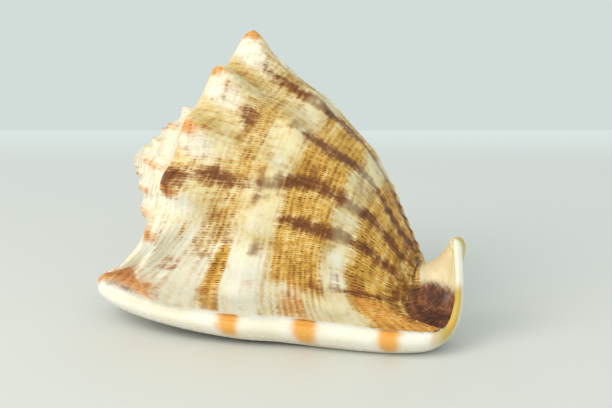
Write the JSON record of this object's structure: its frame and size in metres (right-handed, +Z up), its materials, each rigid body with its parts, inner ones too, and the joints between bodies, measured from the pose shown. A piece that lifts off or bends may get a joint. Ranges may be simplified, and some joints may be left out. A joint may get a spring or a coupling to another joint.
{
  "type": "helmet shell",
  "caption": "Heavy knobbed sea shell standing on its thick rolled lip and broad flat shield, with a low stepped spire and a short upturned canal.",
  "frame": {"origin": "centre of the shell's bounding box, on the surface that it stands on", "axes": "+X from the spire towards the canal, along the shell's longest extent; -Y towards the outer lip; +Z up, towards the tallest shoulder knob"},
  "size_m": [0.1544, 0.12, 0.1187],
  "materials": {
    "shell": "polished cream shell with golden and brown bands"
  },
  "bodies": {
    "root": {"helmet_shell": "shell"}
  },
  "joints": []
}
